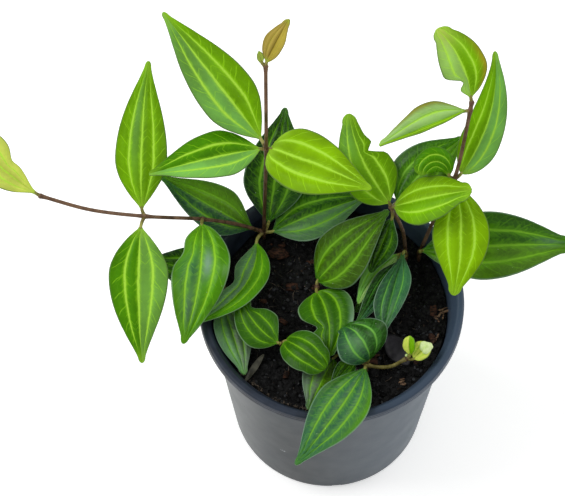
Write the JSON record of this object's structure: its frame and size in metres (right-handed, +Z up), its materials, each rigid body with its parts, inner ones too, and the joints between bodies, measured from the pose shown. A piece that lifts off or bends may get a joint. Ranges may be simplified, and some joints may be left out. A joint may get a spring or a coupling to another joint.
{
  "type": "potted peperomia plant",
  "caption": "Peperomia with pointed, pale-striped leaves on trailing reddish stems, growing in a round tapered nursery pot filled with dark potting mix",
  "frame": {"origin": "middle of the pot's underside, on the flat pad that the pot stands on", "axes": "+Z up along the pot's axis, -Y towards the plant's front, +X to the right seen from the front"},
  "size_m": [0.2577, 0.178, 0.1994],
  "materials": {
    "pot": "satin dark blue-grey moulded plastic",
    "soil": "moist dark peat with bark bits",
    "stem": "smooth reddish-brown stem",
    "leaf_young": "semi-gloss lime green with pale veins",
    "leaf_grown": "semi-gloss mid green with pale veins",
    "leaf_old": "semi-gloss dark green with silvery bands and pale veins"
  },
  "bodies": {
    "root": {"pot": "pot", "soil": "soil", "forked_stem": "stem", "centre_stem": "stem", "right_stem": "stem", "mid_stem": "stem", "front_stem": "stem", "side_stem": "stem", "rim_stem": "stem", "tall_leaf_back": "leaf_young", "tall_leaf_left": "leaf_young", "tall_leaf_right": "leaf_young", "tall_bud": "leaf_young", "tall_bud_scale": "leaf_young", "low_leaf_back": "leaf_old", "low_leaf_right": "leaf_old", "low_leaf_front": "leaf_grown", "low_leaf_left": "leaf_old", "trail_leaf_back": "leaf_young", "trail_leaf_front": "leaf_young", "trail_leaf_inner": "leaf_grown", "trail_leaf_end": "leaf_young", "centre_leaf_back": "leaf_young", "centre_leaf_right": "leaf_young", "centre_leaf_far": "leaf_old", "centre_leaf_front": "leaf_old", "centre_low_leaf_front": "leaf_old", "centre_low_leaf_pale": "leaf_grown", "centre_low_leaf_dark": "leaf_old", "centre_low_leaf_under": "leaf_old", "right_leaf_back": "leaf_young", "right_leaf_front": "leaf_young", "right_leaf_curled": "leaf_young", "right_leaf_folded": "leaf_young", "right_leaf_top": "leaf_young", "right_leaf_low": "leaf_old", "mid_leaf_back": "leaf_old", "mid_leaf_front": "leaf_grown", "front_leaf_curled": "leaf_old", "front_leaf_long": "leaf_old", "front_leaf_dull": "leaf_old", "front_leaf_narrow": "leaf_old", "sprout_leaf_left": "leaf_young", "sprout_leaf_right": "leaf_young", "side_leaf_right": "leaf_grown", "side_leaf_back": "leaf_grown", "rim_leaf_front": "leaf_old", "rim_leaf_left": "leaf_old"}
  },
  "joints": []
}
